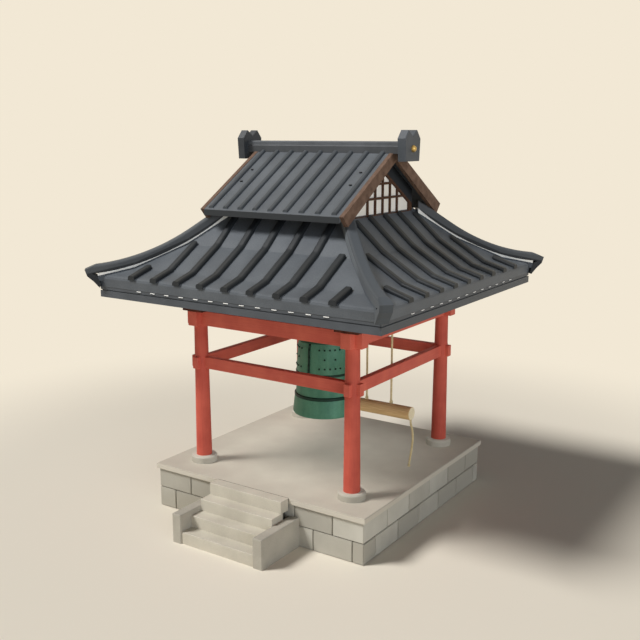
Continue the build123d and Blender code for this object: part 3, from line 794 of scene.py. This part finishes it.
finish_nodes(clouded("cream_panel", (248, 242, 229), (255, 251, 243), 0.85), "gable_panels")
finish_nodes(cedar("brown_lattice", (1, 0.5, 0.5), (66, 44, 32), (88, 62, 46),
                   rim=(shade_under_the_roof, rim_shade_grey)), "gable_lattices")
finish_nodes(cedar("brown_bargeboards", (1, 0.2, 0.2), (100, 78, 65), (123, 98, 82)), "bargeboards")
gilding = Finish("gilt_ball", roughness=0.35, metallic=0.7)
gilding.feed(Base_Color=gilding.place.noise(40).mix(shade(181, 146, 76), shade(211, 182, 116)))
finish_nodes(gilding.material, "ridge_bosses")


# ---------------------------------------------------------------- bell
# The bell is cast in bronze and has a green skin. Raised ribs divide it into four fields, each with
# three rows of studs, and two bands run round it. The bands are painted the dark of the raised
# bronze, which also stands for the shade under their ledges.

bronze_deep = (66, 121, 100)
bronze_pale = (95, 152, 125)
bronze_dark = (12, 50, 38)
shaded_bands = [(2.336, 2.408), (2.858, 2.914)]
rib_width = 0.046
rib_proud = 0.018
rib_sunk = 0.01
stud_radius = 0.023
# each row's height, its studs and how many steps lie between them
stud_rows = [(3.458, 5, 1), (3.25, 2, 2), (3.046, 5, 1)]
stud_step = 11.25
field_middle = 45
# the bell's radius at heights from its upper band to its shoulder
bell_outline = [(0.620, 2.914), (0.614, 3.010), (0.605, 3.140), (0.597, 3.310), (0.586, 3.480),
                (0.566, 3.580)]

patina = Finish("bell_bronze", roughness=0.5, metallic=0.12)
z = patina.place.axes()[2]
streaks = patina.place.stretched(1, 1, 0.25).noise(6, 5)
bloom = patina.place.noise(24, 4)
skin = (streaks * 0.7 + bloom * 0.3).rise(0.2, 0.8).mix(shade(*bronze_deep), shade(*bronze_pale))
in_shaded_band = None
# the bands are painted dark: partly the raised bronze's own dark, partly painted shade under their
# ledges
for low, high in shaded_bands:
    one = (z > low) * (z < high)
    in_shaded_band = one if in_shaded_band is None else in_shaded_band.highest(one)
patina.feed(Base_Color=in_shaded_band.mix(skin, shade(*bronze_dark)), Roughness=bloom * 0.3 + 0.35)
patina.bump(bloom, distance=0.002, strength=0.4)
finish_nodes(patina.material, "bell")

dark_bronze = Finish("raised_bronze", roughness=0.5, metallic=0.12)
dark_bronze.feed(Base_Color=dark_bronze.place.noise(30).mix(shade(*bronze_dark), shade(22, 56, 45)))


def bell_radius(height):
    """The bell's outer radius at a height between its upper band and its shoulder."""
    for (wide, low), (narrow, high) in zip(bell_outline, bell_outline[1:]):
        if low <= height <= high:
            return wide + (height - low) / (high - low) * (narrow - wide)
    return bell_outline[-1][0]


work = bmesh.new()
for turns in range(4):
    turned = Matrix.Rotation(math.pi / 2 * turns, 4, "Z")
    for (wide, low), (narrow, high) in zip(bell_outline, bell_outline[1:]):
        corners = []
        for radius, height in ((wide, low), (narrow, high)):
            for side in (-1, 1):
                for depth in (-rib_sunk, rib_proud):
                    corner = Vector((side * rib_width / 2, -radius - depth, height))
                    corners.append(work.verts.new(turned @ corner))
        a, b, c, d, e, f, g, h = corners
        for face in ((a, b, f, e), (c, d, h, g), (b, d, h, f), (a, c, g, e), (a, b, d, c),
                     (e, f, h, g)):
            work.faces.new(face)
    for height, count, steps in stud_rows:
        radius = bell_radius(height)
        for number in range(count):
            angle = math.radians(field_middle + (number - (count - 1) / 2) * steps * stud_step)
            spot = Vector((radius * math.cos(angle), radius * math.sin(angle), height))
            bmesh.ops.create_icosphere(work, subdivisions=2, radius=stud_radius,
                                       matrix=Matrix.Translation(turned @ spot))
new_piece("bell_ribs_and_studs", work, dark_bronze.material, "bell_body")


# ---------------------------------------------------------------- striking log and its ropes
# A bare pale log, crosscut at both ends, hangs level from two three-strand ropes. Each rope has
# a spliced eye at each end, on an iron pin. The log's own eyes are wound with hemp.

ring_spread = 620
ring_wobble = 0.02
cut_depth = 0.003
rope_radius = 0.0235
rope_overlap = 0.02
eye_ring = 0.018
eye_thick = 0.0095
eye_points = 24
eye_sides = 8
binding_turns = 5
binding_start = 0.030
binding_step = 0.007
binding_radius = 0.0175
binding_thick = 0.0042
binding_points = 16
binding_sides = 6

log_low, log_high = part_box("striking_log")
log_axis = (log_low.z + log_high.z) / 2
timber = Finish("log_timber", roughness=0.75, gloss=0.2)
x = timber.place.axes()[0]
grain = timber.place.stretched(0.06, 1, 1).noise(50, 5)
off_axis = timber.place.node("ShaderNodeVectorMath", {"operation": "SUBTRACT"},
                             {0: timber.place, 1: (0, 0, log_axis)})
radius = off_axis.stretched(0, 1, 1).length() + timber.place.noise(9, 2) * ring_wobble
wave = radius * ring_spread
rings = wave.math("SINE", wave) * 0.5 + 0.5
bark = grain.rise(0.2, 0.8).mix(shade(206, 169, 116), shade(233, 203, 152))
cut = rings.mix(shade(238, 220, 182), shade(251, 238, 206))
at_end = (x > log_high.x - cut_depth).highest(x < log_low.x + cut_depth)
timber.feed(Base_Color=at_end.mix(bark, cut))
timber.bump(grain, distance=0.004, strength=0.4)
finish_nodes(timber.material, "striking_log")

for node, body in (("inner_rope", "inner_rope_body"), ("outer_rope", "outer_rope_body")):
    low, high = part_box(node)
    middle = (low + high) / 2
    foot, head = low.z + eye_ring + eye_thick, high.z - eye_ring - eye_thick
    work = bmesh.new()
    ends = Vector((middle.x, 0, foot + rope_overlap)), Vector((middle.x, 0, head - rope_overlap))
    add_laid_rope(work, ends, rope_radius)
    for pivot, inward in ((foot, 1), (head, -1)):
        loop = [Vector((middle.x + eye_ring * math.sin(turn), 0,
                        pivot - inward * eye_ring * math.cos(turn)))
                for turn in ring_turns(eye_points)]
        add_tube(work, loop, eye_thick, eye_sides)
        for number in range(binding_turns):
            height = pivot + inward * (binding_start + number * binding_step)
            loop = [Vector((middle.x + binding_radius * math.cos(turn),
                            binding_radius * math.sin(turn), height))
                    for turn in ring_turns(binding_points)]
            add_tube(work, loop, binding_thick, binding_sides)
    new_piece(node + "_laid", work, hemp_finish, body, [node])

iron = Finish("forged_iron", roughness=0.55, metallic=0.8)
iron.feed(Base_Color=iron.place.noise(50, 4).mix(shade(46, 45, 46), shade(78, 74, 70)))
iron.bump(iron.place.noise(70), distance=0.001, strength=0.4)
finish_nodes(iron.material, "bell_hanger", "rope_hooks")
finish_nodes(hemp_finish, "log_eyes")
